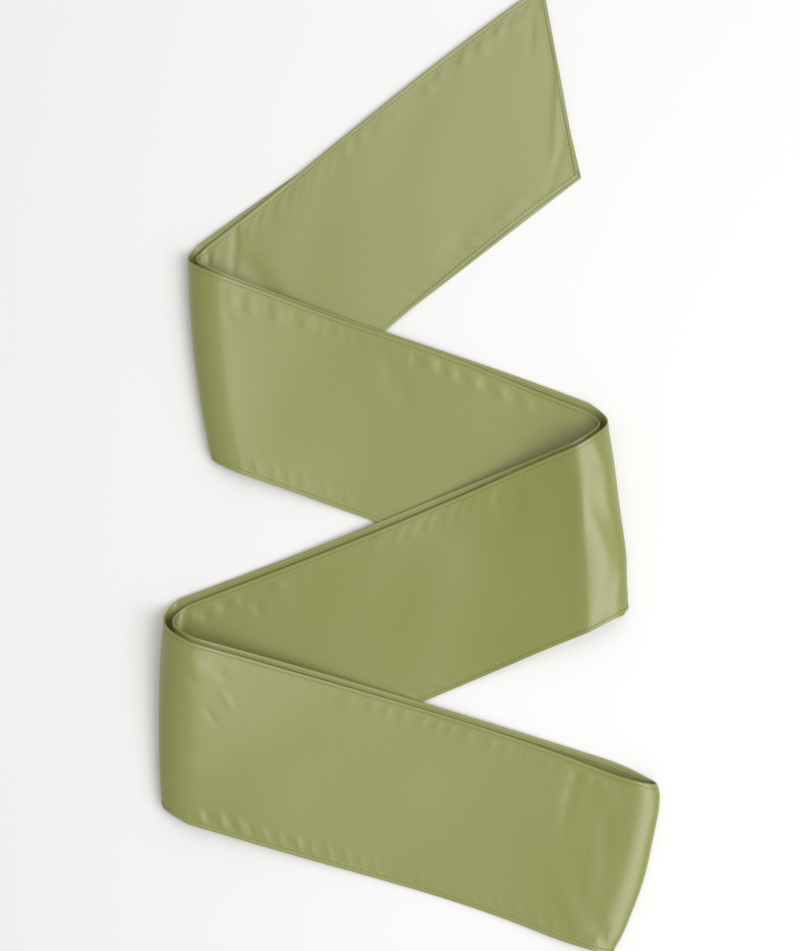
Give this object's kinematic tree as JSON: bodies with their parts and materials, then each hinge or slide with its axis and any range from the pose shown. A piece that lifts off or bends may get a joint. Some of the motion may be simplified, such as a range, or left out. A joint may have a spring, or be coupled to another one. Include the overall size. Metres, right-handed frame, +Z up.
{
  "type": "satin sash",
  "caption": "Long narrow satin sash with slanted ends, folded in half and laid flat in a loose zigzag with open rounded folds.",
  "frame": {"origin": "centre of the laid sash's bounding box, at the table", "axes": "+Z up from the table, +Y towards the end of the lay where the two cut ends are, +X towards the half fold"},
  "size_m": [0.286, 0.5498, 0.0255],
  "materials": {
    "satin": "satin"
  },
  "bodies": {
    "root": {"stretch_1_ply_a": "satin", "stretch_1_ply_b": "satin", "stretch_2_ply_a": "satin", "stretch_2_ply_b": "satin", "stretch_3_ply_a": "satin", "stretch_3_ply_b": "satin", "stretch_4_ply_a": "satin", "stretch_4_ply_b": "satin"}
  },
  "joints": []
}
